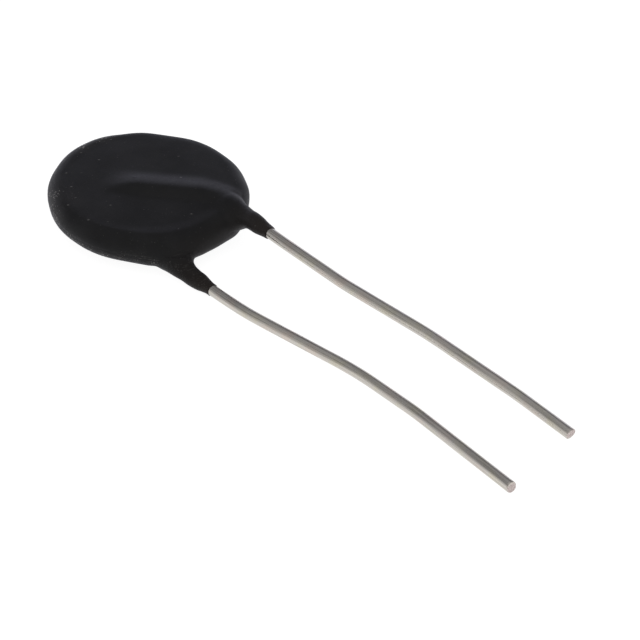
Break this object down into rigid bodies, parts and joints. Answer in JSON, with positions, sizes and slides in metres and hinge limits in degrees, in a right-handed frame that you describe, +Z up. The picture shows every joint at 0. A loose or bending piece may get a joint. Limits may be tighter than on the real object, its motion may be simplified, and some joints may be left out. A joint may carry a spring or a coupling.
{
  "type": "ntc thermistor",
  "caption": "Disc-shaped temperature-dependent resistor in a black dipped coating with round tinned wire leads, used to limit inrush current.",
  "frame": {"origin": "middle of the whole part's outline in plan, on the plane it rests on when laid on its lower face", "axes": "+X along the leads, from the coated disc to the cut tips; +Z up, square to the disc's faces, with lead_top over the disc and lead_bottom under it"},
  "size_m": [0.058, 0.0172, 0.0044],
  "materials": {
    "coating": "matte",
    "lead_wire": "satin",
    "ceramic": "matte",
    "silver": "matte",
    "solder": "satin"
  },
  "bodies": {
    "root": {"coating": "coating", "lead_top": "lead_wire", "lead_bottom": "lead_wire", "ceramic_disc": "ceramic", "electrode_top": "silver", "electrode_bottom": "silver", "solder_top": "solder", "solder_bottom": "solder"}
  },
  "joints": []
}
